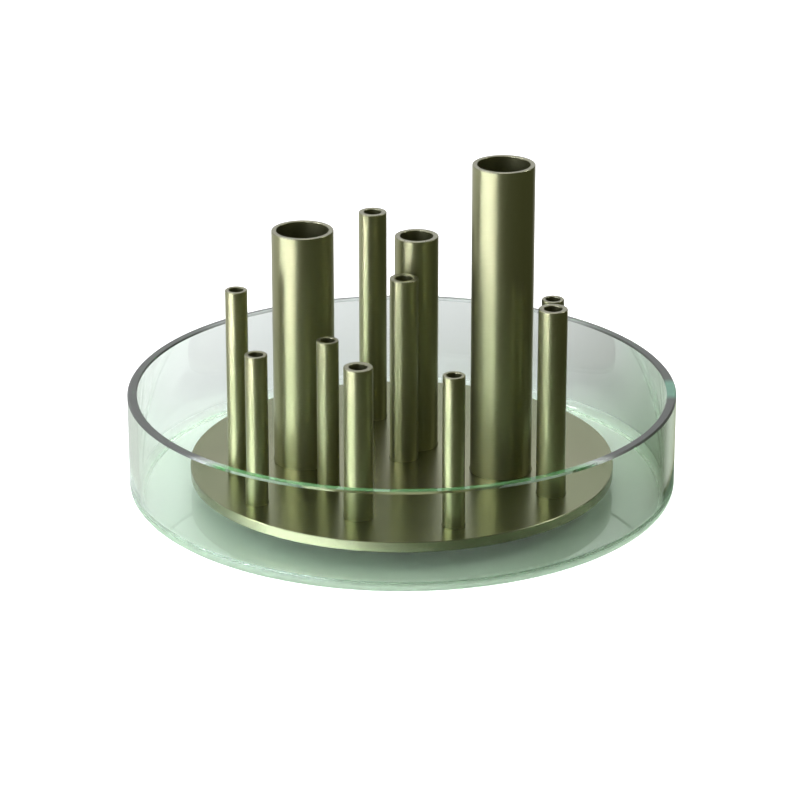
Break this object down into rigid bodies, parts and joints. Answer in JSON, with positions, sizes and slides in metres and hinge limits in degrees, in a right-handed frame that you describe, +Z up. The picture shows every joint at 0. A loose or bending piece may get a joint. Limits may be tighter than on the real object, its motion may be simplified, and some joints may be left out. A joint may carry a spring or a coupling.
{
  "type": "low vase",
  "caption": "Low round green-tinted glass bowl with a lift-out metal flower holder: a disc on small feet that carries open upright tubes of several heights.",
  "frame": {"origin": "middle of the bowl's flat underside", "axes": "+Z up along the tubes; -Y towards the picture's viewer; +X to the viewer's right"},
  "size_m": [0.25, 0.25, 0.158],
  "materials": {
    "bowl_glass": "clear, pale green, polished",
    "holder_metal": "satin olive-champagne anodising, finely brushed",
    "foot_rubber": "matt"
  },
  "bodies": {
    "vessel": {"bowl": "bowl_glass"},
    "flower_holder": {"plate": "holder_metal", "foot_1": "foot_rubber", "foot_2": "foot_rubber", "foot_3": "foot_rubber", "foot_4": "foot_rubber", "tube_1": "holder_metal", "tube_2": "holder_metal", "tube_3": "holder_metal", "tube_4": "holder_metal", "tube_5": "holder_metal", "tube_6": "holder_metal", "tube_7": "holder_metal", "tube_8": "holder_metal", "tube_9": "holder_metal", "tube_10": "holder_metal", "tube_11": "holder_metal", "tube_12": "holder_metal"}
  },
  "joints": [
    {"name": "holder_lift", "type": "slide", "parent": "vessel", "child": "flower_holder", "axis": [0, 0, 1], "range_m": [0, 0.06]}
  ]
}
